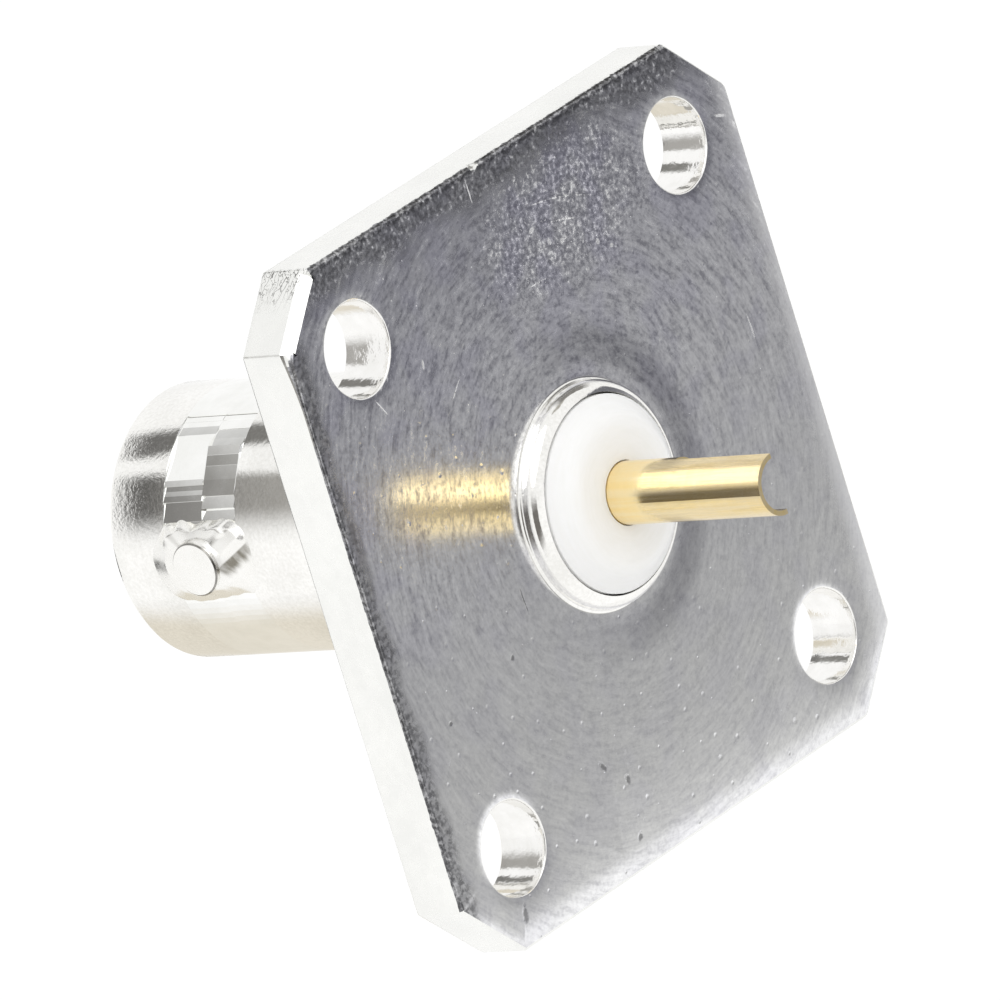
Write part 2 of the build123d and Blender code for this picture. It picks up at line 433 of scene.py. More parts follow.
# Section of everything turned about the axis: from the dish on the back of the flange up over the
# collar, down the seat, through the web, out of the mouth and along the barrel to the milled band
def rearSection(sizes):
    thick, mouthY = sizes["thickness"], -sizes["length"]
    barrelR, seatR = sizes["barrel"] / 2, sizes["seat"] / 2
    mouthR = barrelR - sizes["mouthWall"]
    collarR, collarY = seatR + sizes["collarWall"], thick + sizes["collarHeight"]
    rimDeep = (sizes["collarWall"] - sizes["collarLip"]) * sizes["rimStretch"]
    foot = sizes["collarFootRound"]
    shoulderY = mouthY + sizes["mouthDepth"]
    webY = shoulderY + sizes["web"]
    low = thick - sizes["undercutDepth"]
    section = [(sizes["undercutTo"], thick, facedSlot)]
    for k in range(1, 6):
        share = k / 6
        section.append((sizes["undercutTo"] + (collarR + foot - sizes["undercutTo"]) * share,
                        thick - sizes["undercutDepth"] * share ** 1.4, facedSlot))
    section += [(r, y, turnedSlot) for r, y in arcPoints((collarR + foot, low + foot), foot, -90, -180, 7)]
    # the rim is part of an ellipse, so that it stays white until it drops into the seat
    rimWide = (sizes["collarWall"] - 0.02) / (1 - math.cos(math.radians(sizes["rimTurn"])))
    rimTall = rimDeep / math.sin(math.radians(sizes["rimTurn"]))
    for r, y in arcPoints((0, 0), 1, 0, sizes["rimTurn"], 9):
        section.append((collarR - rimWide * (1 - r), collarY - rimDeep + rimTall * y, turnedSlot))
    section += [
        (seatR, collarY - sizes["collarBreak"], boreSlot),
        (seatR, webY, boreSlot),
        (sizes["noseHole"] / 2, webY, boreSlot),
        (sizes["noseHole"] / 2, shoulderY, boreSlot),
        (mouthR, shoulderY, boreSlot),
        (mouthR, mouthY + sizes["mouthLeadIn"], boreSlot),
        (mouthR + sizes["mouthLeadIn"], mouthY, turnedSlot),
    ]
    lip = sizes["mouthRound"]
    section += [(r, y, turnedSlot) for r, y in arcPoints((barrelR - lip, mouthY + lip), lip, -90, 0, 5)]
    return section


# Flats that the mill leaves round the band, in two passes beside each other. Each flat has the place
# where it starts and the way it faces, in degrees from +X towards +Z, and how far its first edge
# stands out from the band's radius, in hundredths of a millimetre. 1 goes on where the last one
# ended, and 2 to 9 go halfway from there to their place.
mouthPass = [
    (12, 22, 10), (19.6, 30, 10), (27.9, 38.2, 10), (30.4, 39.4, 1), (32.6, 38, 1), (34.6, 39.6, 10),
    (37.1, 47.3, 4), (57.8, 62, 6), (62, 65, 7), (65, 67, 8),
]
flangePass = [
    (12, 22, 10), (19.6, 39.4, 10), (24.5, 39.1, 10), (29.9, 36.5, 10), (36.5, 37.1, 1), (42.5, 36.3, 1),
    (47, 37.3, 1), (50.9, 62.2, 5), (55, 62, 6), (60, 64, 7), (65, 67, 8),
]


# The rest of a pass, from the top on round to the lug's foot again, in degrees. At the top and on
# the underside, where the photograph shows no flats, it is smooth and all but level with the barrel.
bandRest = {"from": 68, "roughFrom": 146, "roughTo": 280, "to": 370}


def bandPass(flats, seed):
    passes = list(flats)
    turn = bandRest["from"]
    while turn < bandRest["to"]:
        smooth = not bandRest["roughFrom"] <= turn <= bandRest["roughTo"]
        step = 3 if smooth else 9 + 5 * noise.noise(Vector((turn * 0.17, 0.3, seed)))
        stray = 0 if smooth else 3 * noise.noise(Vector((turn * 0.23, 3.1, seed)))
        passes.append((turn, turn + step / 2 + stray, 10 if smooth else 2))
        turn += step
    return passes


# One pass of flats between two places on the axis. Every flat has its own points, so small risers
# stand between neighbours.
def buildPass(bm, flats, bandR, fromY, toY):
    columns = [[], []]
    r = bandR
    for index, (start, facing, standing) in enumerate(flats):
        stop = flats[(index + 1) % len(flats)][0] + (360 if index == len(flats) - 1 else 0)
        if standing != 1:
            r += (bandR + 0.01 * standing - r) * (0.5 if 0 < standing < 10 else 1)
        away = r * math.cos(math.radians(start - facing))
        for degrees in (start + 0.05, stop - 0.05):
            r = away / math.cos(math.radians(degrees - facing))
            turn = math.radians(degrees)
            for column, y in zip(columns, (fromY, toY)):
                column.append(bm.verts.new((r * math.cos(turn), y, r * math.sin(turn))))
    bridge(bm, *columns, bandSlot)
    return columns


def buildBand(bm, sizes, mouthRim, flangeRim):
    bandR = sizes["barrel"] / 2 - sizes["bandDepth"]
    lugY = -sizes["length"] + lugSizes["toMouth"]
    low, high = lugY - sizes["bandWidth"] / 2, lugY + sizes["bandWidth"] / 2
    split = low + sizes["bandSplit"]
    first = buildPass(bm, bandPass(mouthPass, 0.9), bandR, low + 0.01, split - 0.01)
    second = buildPass(bm, bandPass(flangePass, 5.2), bandR, split + 0.01, high - 0.05)
    for column, rim in ((first[0], mouthRim), (first[1], second[0]), (second[1], flangeRim)):
        stitched = bmesh.ops.bridge_loops(bm, edges=loopEdges(bm, column) + loopEdges(bm, rim))
        for face in stitched["faces"]:
            face.material_index = bandSlot


def buildBody():
    sizes = bodySizes
    bm = bmesh.new()
    count = sizes["roundPoints"]
    frontRim, backRim = buildFlangeRim(bm, sizes)
    section = rearSection(sizes)
    lugY = -sizes["length"] + lugSizes["toMouth"]
    barrelR = sizes["barrel"] / 2
    section += [(barrelR, lugY - sizes["bandWidth"] / 2, turnedSlot)]
    rear = [ringOf(bm, r, y, count) for r, y, slot in section]
    for (first, second), (r, y, slot) in zip(zip(rear, rear[1:]), section):
        bridge(bm, first, second, slot)
    front = [ringOf(bm, barrelR, lugY + sizes["bandWidth"] / 2, count)]
    foot = sizes["footRound"]
    front += [ringOf(bm, r, y, count) for r, y in arcPoints((barrelR + foot, -foot), foot, 180, 90, 5)]
    for first, second in zip(front, front[1:]):
        bridge(bm, first, second, turnedSlot)
    buildBand(bm, sizes, rear[-1], front[0])

    holeR = mounts["flange_bolts"]["dims"]["hole_r_mm"]
    reach = mounts["flange_bolts"]["dims"]["spacing_x_mm"] / 2
    thick = sizes["thickness"]
    faceRims = {"front": [], "back": []}
    for sx in (-1, 1):
        for sz in (-1, 1):
            centre = (sx * reach, sz * reach)

            def waver(turn):
                return 0.02 * noise.noise(Vector((2 * math.cos(turn) + sx * 5, 2 * math.sin(turn), sz * 5)))

            steps = [(holeR + sizes["holeBreak"], 0), (holeR, sizes["holeBreak"]),
                     (holeR, thick - sizes["holeBreak"] - sizes["holeDishDepth"])]
            for k in range(1, 5):
                swing = k / 4 * math.pi / 2
                steps.append((holeR + sizes["holeBreak"] * (1 - math.cos(swing)),
                              thick - sizes["holeDishDepth"] - sizes["holeBreak"] * (1 - math.sin(swing))))
            steps += [(holeR + sizes["holeDishWidth"] * 0.45, thick - sizes["holeDishDepth"] * 0.3),
                      (holeR + sizes["holeDishWidth"], thick)]
            hole = [ringOf(bm, r, y, sizes["holePoints"], centre, waver) for r, y in steps]
            for index, (first, second) in enumerate(zip(hole, hole[1:])):
                bridge(bm, first, second, facedSlot if index > 5 else boreSlot)     # the dish is faced
            faceRims["front"].append(hole[0])
            faceRims["back"].append(hole[-1])
    fillFace(bm, [backRim, rear[0]] + faceRims["back"], facedSlot)
    fillFace(bm, [frontRim, front[-1]] + faceRims["front"], facedSlot)
    return objectFrom(bm, "plated_body", flatSlots=(bandSlot,))


body = buildBody()
print("body mesh:", len(body.data.polygons), "faces")


# Materials

# The point on the part, in mm
def partPoint(add):
    return add("VectorMath SCALE", {0: add("TexCoord", out="Object"), "Scale": 1000.0})


# That point, its distance from the axis, and a vector that follows the turning: equal steps round
# the axis and along the radius, with no seam
def turningCoordinates(add, roundScale, radialScale):
    point = partPoint(add)
    flat = add("VectorMath MULTIPLY", (point, (1, 0, 1)))
    radius = add("VectorMath LENGTH", (flat,), "Value")
    around = add("VectorMath SCALE", {0: add("VectorMath NORMALIZE", (flat,)), "Scale": roundScale})
    up = add("CombineXYZ", {"Y": add("Math MULTIPLY", (radius, radialScale))})
    return point, radius, add("VectorMath ADD", (around, up))


# The product of several masks, each a row of MapRange's inputs: value, from, to, and the results there
def maskOf(add, rows, kind="MapRange SMOOTHSTEP"):
    mask = 1.0
    for row in rows:
        mask = add("Math MULTIPLY", (mask, add(kind, row)))
    return mask


# Ends a material with its shader. A height of 1 stands out by unit, in metres.
def finishSurface(add, inputs, height, unit=1e-6):
    bump = add("Bump", {"Strength": 1.0, "Distance": unit, "Height": height})
    add("OutputMaterial", (add("BsdfPrincipled", {**inputs, "Normal": bump}),))


# Silver plate over brass, faced on a lathe, then rubbed and tumbled: a mirror that is broken up by
# fine arcs about the axis, by grit of about 0.2 mm and by a few dents and scratches
facedLook = {
    "dull": "#B8B8BD", "middle": "#EBEBEC", "bright": "#FFFFFF", "mottle": "#D4D2E8",
    # ringShadeTone paints shade in a ring round the collar
    "ringShadeTone": "#B0B0B4", "borderTone": "#6E6E71", "burrShadeTone": "#3C3C3E", "scratchTone": "#5E5E60",
    "frosted": "#FFFFFF",
    "arcWidth": 0.22,          # mm across a turning mark, drawn coarser than the real 0.05
    "arcLength": 1.0,          # mm along it, at 10 mm from the axis
    "wander": 2.4,             # how far the marks stray from true arcs, in widths
    "grit": 0.19, "fleck": 0.3, "cloud": 3.0,             # mm
    "dentSpacing": 1.05, "dentSize": 0.13,                # mm
    "markDepth": 1.5, "gritDepth": 1.3, "borderDepth": 5.0, "fleckDepth": 0.7,            # micrometres
    "dentDepth": 9.0, "lightScratchDepth": 12.0, "darkScratchDepth": 8.0,
    "smooth": 0.1, "rough": 0.2,
    # mm: the busiest patch, and where the ragged borders along the top and +X edges and the worn
    # one along -X start and are full
    "patch": {"Location": (-2.2, bodySizes["thickness"], 9.4), "Scale": (5.0, 9.0, 3.0)},
    "topBorder": (11.9, 12.9), "sideBorder": (12.3, 12.9), "wornBorder": (-10.9, -12.2),
    "ringFrom": (4.3, 4.8), "ringTo": (5.3, 6.3),         # mm: the ring of painted shade round the collar
    "overSide": (2.0, 2.049),                             # mm: y where the face turns down over the side
}
# x, z, half width, half length in mm, degrees from upright, light or dark
scratches = [
    (5.0, -1.8, 0.05, 0.55, 4, "dark"), (1.6, 11.75, 0.035, 0.45, 0, "light"),
    (-10.1, 2.0, 0.05, 0.55, 2, "light"), (-11.75, 9.2, 0.06, 0.32, 70, "light"),
    (-3.4, 9.9, 0.05, 0.22, -25, "light"), (10.3, -4.05, 0.12, 0.1, 0, "dark"),
    (2.95, -11.4, 0.2, 0.12, 40, "dark"), (2.7, -9.4, 0.16, 0.2, 10, "dark"),
    (3.7, -8.5, 0.12, 0.28, 35, "dark"), (9.6, -11.4, 0.4, 0.16, 75, "dark"),
    (6.4, -3.3, 0.12, 0.14, 0, "dark"), (8.9, 6.9, 0.03, 0.4, 30, "light"),
    (-0.85, 9.38, 0.2, 0.09, 20, "light"), (-1.54, 8.69, 0.11, 0.14, 0, "light"),
    (-2.19, 8.47, 0.12, 0.1, 0, "light"), (-3.88, 7.73, 0.12, 0.12, 0, "light"),
    (-4.5, 7.34, 0.12, 0.09, 0, "light"), (6.32, 7.41, 0.06, 0.18, -15, "light"),
]
# scratches that follow the turning: radius, then x from and to, in mm
arcScratches = [(10.22, -4.4, -1.0), (9.45, -3.3, -1.7), (7.66, -1.1, 0.2), (7.9, 4.6, 5.6)]


def facedSilver():
    look = facedLook
    material, add = newMaterial("silver_plate_faced")
    point, radius, turned = turningCoordinates(add, 10 / look["arcLength"], 1 / look["arcWidth"])
    x, y, z = add("SeparateXYZ", (point,)).node.outputs
    stray = add("TexNoise", {"Vector": point, "Scale": 0.5, "Detail": 3.0}, "Color")
    stray = add("VectorMath SUBTRACT", (stray, (0.5, 0.5, 0.5)))
    stray = add("VectorMath SCALE", {0: stray, "Scale": look["wander"]})
    flow = add("VectorMath ADD", (turned, stray))
    arcs = add("TexNoise", {"Vector": flow, "Scale": 1.0, "Detail": 5.0, "Roughness": 0.7})
    grit, fleck, cloud = (
        add("TexNoise", {"Vector": point, "Scale": 1 / look[name], "Detail": 4.0, "Roughness": uneven,
                         "Distortion": warp})
        for name, uneven, warp in (("grit", 0.7, 0.0), ("fleck", 0.7, 0.5), ("cloud", 0.6, 0.0)))
    drift = add("Math MULTIPLY_ADD", (cloud, 8.0, -4.0))

    # the surface is busiest in a patch below the top edge and calmest towards the bottom
    patch = add("VectorMath LENGTH", (add("Mapping TEXTURE", {"Vector": point, **look["patch"]}),), "Value")
    patch = maskOf(add, [(add("Math MULTIPLY_ADD", (drift, 0.12, patch)), 0.5, 1.15, 1, 0)])
    busy = maskOf(add, [(add("Math ADD", (z, drift)), -4, 5, 0.42, 1.0)])
    busy = add("Math MULTIPLY_ADD", (patch, 0.5, busy))

    # rough, darker borders along the top edge and the +X edge, where the plate is ragged, and a
    # worn one along the -X edge
    topBand, sideBand, worn = (
        maskOf(add, [(add("Math MULTIPLY_ADD", (cloud, waver, place)), *look[name], 0, 1)])
        for place, waver, name in ((z, 2.0, "topBorder"), (x, 1.4, "sideBorder"), (x, 0.6, "wornBorder")))
    border = add("Math MAXIMUM", (topBand, sideBand))
    # painted shade: a duller ring just outside the collar, most of all at -X, standing in for the dark arcs
    # that the turned face reflects there
    ring = maskOf(add, [(radius, *look["ringFrom"], 0, 1), (radius, *look["ringTo"], 1, 0),
                        (x, -3, 3, 1, 0.1)])

    # turning marks give way to plain grit inside the busy patch
    marks = add("Mix FLOAT", {0: add("Math MULTIPLY", (patch, 0.75)), 2: arcs, 3: grit})
    grain = add("Math MULTIPLY_ADD", (marks, 0.6, add("Math MULTIPLY_ADD", (grit, 0.4, -0.5))))
    shine = add("Math MULTIPLY_ADD", (add("Math MULTIPLY", (grain, busy)), 2.3, 0.5))
    mottle = add("TexNoise", {"Vector": point, "Scale": 0.55, "Detail": 2.0})
    mottle = add("Math MULTIPLY", (maskOf(add, [(mottle, 0.46, 0.62, 0, 0.26)]), busy))
    speck = add("MapRange", (grit, 0.42, 0.58, 0, 1))
    dark = add("Math MULTIPLY", (border, add("Math MULTIPLY_ADD", (speck, 0.5, 0.36))))

    # burrs with painted shade: dark where they hang over the sides, and painted dark lines of shade along
    # the very edge at the top and down the +X side
    under = (y, *look["overSide"], 1, 0)
    burrsAndShade = add("Math MAXIMUM", (maskOf(add, [under, (z, 9, 6, 0.3, 1)], "MapRange"),
                                 add("MapRange", (z, 12.2, 12.4, 0, 1))))
    burrsAndShade = add("Math MULTIPLY", (burrsAndShade, add("MapRange", under)))
    atFar = maskOf(add, [(x, 12.36, 12.42, 0, 0.8), (z, 9.5, 8.5, 0, 1)], "MapRange")
    atEdge = add("Math MAXIMUM", (add("MapRange", (z, 12.2, 12.34, 0, 0.8)), atFar))
    burrsAndShade = add("Math MULTIPLY", (border, add("Math MAXIMUM", (atEdge, burrsAndShade))))
    burrsAndShade = add("Math MULTIPLY", (burrsAndShade, add("MapRange", (grit, 0.4, 0.55, 0.3, 1))))

    # small dents, one here and there: a dent in about every second cell
    flat = add("CombineXYZ", (x, z))
    cells = add("TexVoronoi", {"Vector": flat, "Scale": 1 / look["dentSpacing"]}, voronoi_dimensions="2D")
    size = add("SeparateColor", (cells.node.outputs["Color"],))
    size = add("MapRange", (size, 0.35, 1.0, 0.0, look["dentSize"]))
    dent = add("Math DIVIDE", (cells, add("Math MAXIMUM", (size, 0.001))))
    dent = maskOf(add, [(add("Math ADD", (dent, grit)), 0.5, 1.5, 1, 0)])
    # grains where the plate is frosted, so that they scatter the white of the tent
    grains = add("Math MAXIMUM", (add("MapRange", (fleck, 0.63, 0.72, 0, 1)),
                                  add("MapRange", (grit, 0.36, 0.3, 0, 0.8))))
    flecks = add("Math MULTIPLY", (grains, add("MapRange", (busy, 0.9, 1.4, 0.25, 1.0))))
    atTop = add("Math MULTIPLY", (topBand, add("MapRange", (grit, 0.42, 0.33, 0, 0.6))))
    flecks = add("Math MAXIMUM", (flecks, atTop))
    strokes = add("Math MULTIPLY", (add("MapRange", (shine, 0.6, 0.85, 0, 1)), busy))

    scratched = {"light": 0.0, "dark": 0.0}
    for sx, sz, halfWidth, halfLength, degrees, kind in scratches:
        away = add("Mapping TEXTURE", {"Vector": point, "Location": (sx, bodySizes["thickness"], sz),
                                       "Rotation": (0, math.radians(degrees), 0),
                                       "Scale": (halfWidth, 1.0, halfLength)})
        away = add("VectorMath LENGTH", (away,), "Value")
        mask = maskOf(add, [(add("Math MULTIPLY_ADD", (grit, 1.2, away)), 1.0, 1.7, 1, 0)])
        scratched[kind] = add("Math MAXIMUM", (scratched[kind], mask))
    for at, fromX, toX in arcScratches:
        away = add("Math ABSOLUTE", (add("Math SUBTRACT", (radius, at)),))
        away = add("Math MULTIPLY_ADD", (fleck, 0.08, away))
        mask = maskOf(add, [(x, fromX, fromX + 0.3, 0, 1), (x, toX - 0.3, toX, 1, 0), (z, 0, 1, 0, 1),
                            (grit, 0.4, 0.58, 0.1, 1), (away, 0.04, 0.065, 0.8, 0)], "MapRange")
        scratched["light"] = add("Math MAXIMUM", (scratched["light"], mask))

    tone = add("ValToRGB", (shine,),
               stops=[(0.24, look["dull"]), (0.5, look["middle"]), (0.68, look["bright"])])
    pale = add("Math MAXIMUM", (scratched["light"], flecks))
    pale = add("Math MAXIMUM", (pale, add("Math MULTIPLY", (worn, 0.6))))
    # burrShadeTone lays painted shade over the burrs and along the top and +X edges
    for mask, share, name, blend in (
            (mottle, 1.0, "mottle", "MULTIPLY"), (ring, 0.6, "ringShadeTone", "MULTIPLY"),
            (dark, 1.0, "borderTone", "MIX"), (burrsAndShade, 0.7, "burrShadeTone", "MIX"),
            (scratched["dark"], 0.6, "scratchTone", "MIX"), (pale, 1.0, "frosted", "MIX")):
        share = add("Math MULTIPLY", (mask, share))
        tone = add("Mix RGBA", {0: share, 6: tone, 7: look[name]}, 2, blend_type=blend)

    height = add("Math MULTIPLY", (arcs, look["markDepth"]))
    borderDepth = add("Math MULTIPLY", (border, look["borderDepth"]))
    gritDepth = add("Math MULTIPLY_ADD", (busy, look["gritDepth"], borderDepth))
    for value, depth in ((grit, gritDepth), (dent, look["dentDepth"]), (flecks, look["fleckDepth"]),
                         (scratched["light"], look["lightScratchDepth"]),
                         (scratched["dark"], look["darkScratchDepth"])):
        height = add("Math SUBTRACT", (height, add("Math MULTIPLY", (value, depth))))
    roughness = add("MapRange", (shine, 0.35, 0.65, look["rough"], look["smooth"]))
    for mask, more in ((border, 0.15), (flecks, 0.5), (strokes, 0.3),
                       (scratched["light"], 0.3), (worn, 0.4)):
        roughness = add("Math MULTIPLY_ADD", (mask, more, roughness))
    finishSurface(add, {"Metallic": 1.0, "Base Color": tone, "Roughness": roughness}, height)
    return material


# The same plate over other cuts: grain in mm, depth in micrometres. On the barrel the grain calms
# down between two places on the axis, calmFrom and calmTo.
silverLooks = {
    "silver_plate_milled": {"grain": 0.5, "depth": 1.5, "low": "#F1F1EE", "high": "#F9F9F6",
                            "smooth": 0.2, "rough": 0.32, "crack": "#3E3B38"},
    "silver_plate_turned": {"grain": 0.13, "depth": 5.0, "low": "#EDECE8", "high": "#FCFBF8",
                            "smooth": 0.05, "rough": 0.12, "wave": 0.5, "waveDepth": 3.0,
                            "calmFrom": -13.4, "calmTo": -12},
    "silver_plate_band": {"grain": 0.7, "depth": 0.6, "low": "#F4F4F1", "high": "#FCFCFA",
                          "smooth": 0.04, "rough": 0.09},
    "silver_plate_drilled": {"grain": 0.55, "depth": 18.0, "low": "#F1F0ED", "high": "#FBFAF8",
                             "smooth": 0.04, "rough": 0.14},
    # the lug's barShade colour is painted shade under its bar
    "silver_plate_lug": {"grain": 0.3, "depth": 0.8, "low": "#F4F3EF", "high": "#FCFBF8",
                         "smooth": 0.22, "rough": 0.36, "barShade": "#8A867C"},
    # the edge look is a painted dark line of shade, on the flange's filed bevel and round the top of each
    # lug
    "silver_plate_edge_shade": {"grain": 0.2, "depth": 1.0, "low": "#7A7874", "high": "#A8A6A1",
                          "smooth": 0.1, "rough": 0.2},
}


# Root-like cracks in the plate at the top end of the filed corner, whose plane is x + z = 22.9
def crackMask(add, point):
    x, y, z = add("SeparateXYZ", (point,)).node.outputs
    along = add("Math SUBTRACT", (z, x))
    stray = add("TexNoise", {"Vector": point, "Scale": 3.0, "Detail": 3.0})
    across = add("Math MULTIPLY_ADD", (y, 4.2, add("Math MULTIPLY", (stray, 2.4))))
    down = add("Math MULTIPLY_ADD", (along, 0.8, add("Math MULTIPLY", (stray, 1.8))))
    lines = add("TexVoronoi DISTANCE_TO_EDGE", {"Vector": add("CombineXYZ", (across, down)), "Scale": 1.5},
                "Distance", voronoi_dimensions="2D")
    atTop = (add("Math MULTIPLY_ADD", (stray, 1.2, along)), 0.5, 2.4, 0, 1)
    onCut = add("MapRange", (add("Math ADD", (x, z)), 22.7, 22.8, 0, 1))
    share = add("Math MULTIPLY", (onCut, 0.85))
    return add("Math MULTIPLY", (maskOf(add, [atTop, (lines, 0.02, 0.08, 1, 0)]), share))


# Painted shade: streaky dark grey in the corner under the lug's bar, standing in for the shade and dark
# reflection there
def barShadeMask(add, point):
    x, y, z = add("SeparateXYZ", (point,)).node.outputs
    along = add("Math ADD", (y, bodySizes["length"] - lugSizes["toMouth"]))
    across = add("Math MULTIPLY", (z, add("Math SIGN", (x,))))
    turn = math.radians(lugSizes["barTurn"])
    cosine, sine = math.cos(turn), math.sin(turn)
    outwards, above = (
        add("Math MULTIPLY_ADD", (along, alongShare, add("Math MULTIPLY", (across, acrossShare))))
        for alongShare, acrossShare in ((cosine, sine), (-sine, cosine)))
    spot = add("CombineXYZ", (outwards, add("Math MULTIPLY", (above, 0.25))))
    streaks = add("TexNoise", {"Vector": spot, "Scale": 5.0, "Detail": 3.0})
    below = add("Math MULTIPLY_ADD", (streaks, 0.3, add("Math SUBTRACT", (above, 0.15))))
    mask = maskOf(add, [(below, -0.95, -0.6, 0, 1), (above, -0.42, -0.34, 1, 0),
                        (outwards, 0.7, 0.95, 0, 1), (outwards, 1.9, 2.25, 1, 0)])
    return add("Math MULTIPLY", (mask, add("MapRange", (streaks, 0.35, 0.6, 0.6, 1.0))))


def plainSilver(name, look):
    material, add = newMaterial(name)
    point = partPoint(add)
    grain = add("TexNoise", {"Vector": point, "Scale": 1 / look["grain"], "Detail": 3.0, "Roughness": 0.6})
    cloud = add("TexNoise", {"Vector": point, "Scale": 0.35, "Detail": 3.0})
    height = add("Math MULTIPLY", (grain, look["depth"]))
    roughness = add("MapRange", (grain, 0.35, 0.65, look["smooth"], look["rough"]))
    if "wave" in look:
        along = add("SeparateXYZ", (point,), "Y")
        calm = add("MapRange", (along, look["calmFrom"], look["calmTo"], 1, 0.45))
        wave = add("TexNoise", {"Vector": point, "Scale": 1 / look["wave"], "Detail": 2.0})
        height = add("Math MULTIPLY_ADD", (height, calm, add("Math MULTIPLY", (wave, look["waveDepth"]))))
    shine = add("Math MULTIPLY_ADD", (grain, 0.5, add("Math MULTIPLY", (cloud, 0.5))))
    tone = add("ValToRGB", (shine,), stops=[(0.38, look["low"]), (0.6, look["high"])])
    # real cracks in the plate, and painted shade under the lug's bar
    for key, markMask in (("crack", crackMask), ("barShade", barShadeMask)):
        if key in look:
            tone = add("Mix RGBA", {0: markMask(add, point), 6: tone, 7: look[key]}, 2)
    finishSurface(add, {"Metallic": 1.0, "Base Color": tone, "Roughness": roughness}, height)
    return material


plated = {name: plainSilver(name, look) for name, look in silverLooks.items()}
setMaterials(body, facedSilver(), plated["silver_plate_milled"], plated["silver_plate_turned"],
             plated["silver_plate_band"], plated["silver_plate_drilled"], plated["silver_plate_edge_shade"])
for lug in lugs:
    setMaterials(lug, plated["silver_plate_lug"], plated["silver_plate_edge_shade"])


# PTFE, turned from rod: white and waxy, light goes a little way in and comes out again
ptfeLook = {
    "low": "#F8F8F6", "high": "#FBFBFA", "ringPitch": 0.15, "depth": 0.8e-6,   # mm, metres
    "shader": {"Roughness": 0.42, "IOR": 1.35, "Subsurface Weight": 0.3,
               "Subsurface Scale": 0.0006, "Subsurface Radius": (1.0, 1.0, 1.0)},
}


def turnedPtfe():
    look = ptfeLook
    material, add = newMaterial("ptfe_turned")
    turned = turningCoordinates(add, 3.0, 1 / look["ringPitch"])[2]
    marks = add("TexNoise", {"Vector": turned, "Scale": 1.0, "Detail": 3.0})
    tone = add("ValToRGB", (marks,), stops=[(0.35, look["low"]), (0.65, look["high"])])
    finishSurface(add, {**look["shader"], "Base Color": tone}, marks, look["depth"])
    return material


# Hard gold over nickel on a turned contact: pale, bright yellow, with lathe rings across it and a
# few lines drawn along it
goldLook = {
    "low": "#FFE6A8", "high": "#FFEBBC", "smooth": 0.08, "rough": 0.16,
    "ringPitch": 0.14, "linePitch": 0.16, "depth": 0.35e-6,                    # mm, metres
}


def platedGold():
    look = goldLook
    material, add = newMaterial("gold_plate_turned")
    point = partPoint(add)
    lineScale = 1 / look["linePitch"]
    rings, lines = (
        add("TexNoise", {"Vector": add("VectorMath MULTIPLY", (point, scale)), "Scale": 1.0, "Detail": 3.0})
        for scale in ((0.4, 1 / look["ringPitch"], 0.4), (lineScale, 0.25, lineScale)))
    both = add("Math MULTIPLY_ADD", (rings, 0.2, add("Math MULTIPLY", (lines, 0.8))))
    tone = add("ValToRGB", (both,), stops=[(0.4, look["low"]), (0.6, look["high"])])
    roughness = add("MapRange", (lines, 0.35, 0.65, look["smooth"], look["rough"]))
    finishSurface(add, {"Metallic": 1.0, "Base Color": tone, "Roughness": roughness}, both, look["depth"])
    return material


ptfe, gold = turnedPtfe(), platedGold()
for node, material in (("rear_insulator", ptfe), ("front_insulator", ptfe), ("center_contact", gold)):
    setMaterials(frame["nodes"][node], material)
print("materials set")

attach(body, "root")
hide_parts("body")
for lug in lugs:
    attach(lug, "root")


# Studio

studio = {
    "floorBelow": 30.0,          # mm under the connector's axis
    "floorSize": 4000.0, "floorTone": "#F4F4F4",
    "floorGlow": 1.1, "floorGlowShare": 0.75,
    "worldForDiffuse": 0.88,
    "keyLamp": {"azimuth": 140, "elevation": 50, "distance": 600, "size": 600, "watts": 0.8},
}
# Grey flags on cylinders about the connector's axis, which the metal mirrors and the camera doesn't
# see. around is in degrees from +X towards +Z, along is in mm on the axis, edges is how many degrees
# its two long sides take to fade from white, tones are those on its mouth side and flange side, and
# spread is how many degrees further its two long sides lie on the mouth side.
commonFlag = {"radius": 40, "spread": (0, 0), "acrossPoints": 24, "alongPoints": 8}
flags = {
    "lowBarrelFlag": {"around": (2, 57), "edges": (28, 9), "along": (-56, -20),
                      "tones": ("#676665", "#ACAAA7"), "spread": (0, 6)},
    "highBarrelFlag": {"around": (77, 103), "edges": (6, 9), "along": (-56, -20),
                       "tones": ("#727170", "#83827F"), "spread": (6, 0)},
    "cameraFlag": {"around": (-34, 28), "edges": (22, 22), "along": (14, 60),
                   "tones": ("#767370", "#767370")},
    "sideHighFlag": {"around": (105, 150), "edges": (12, 12), "along": (-11, 14),
                     "tones": ("#8A8885", "#8A8885")},
    "sideLowFlag": {"around": (205, 258), "edges": (14, 16), "along": (-11, 8),
                    "tones": ("#8E8B86", "#8E8B86"), "radius": 27},
    "tableFlag": {"around": (-165, -45), "edges": (40, 30), "along": (-46, -18),
                  "tones": ("#E6E0D3", "#E6E0D3"), "radius": 24},
}
mouthSide = (-0.048, -0.039)     # metres on the axis: tones and spread change over between these
# Flat cards, from a point on the part towards a direction, in mm
cards = {
    "mouthCard": {"from": (5, -14, -0.3), "towards": (0.02, -0.92, -0.4), "distance": 100,
                  "width": 66, "height": 62, "fade": 0.3, "tone": "#1E1D1A"},
    "collarCard": {"from": (1.1, 2.6, 3.8), "towards": (-0.39, 0.34, 0.85), "distance": 40,
                   "width": 12, "height": 14, "fade": 0.3, "tone": "#B4B1AA"},
}
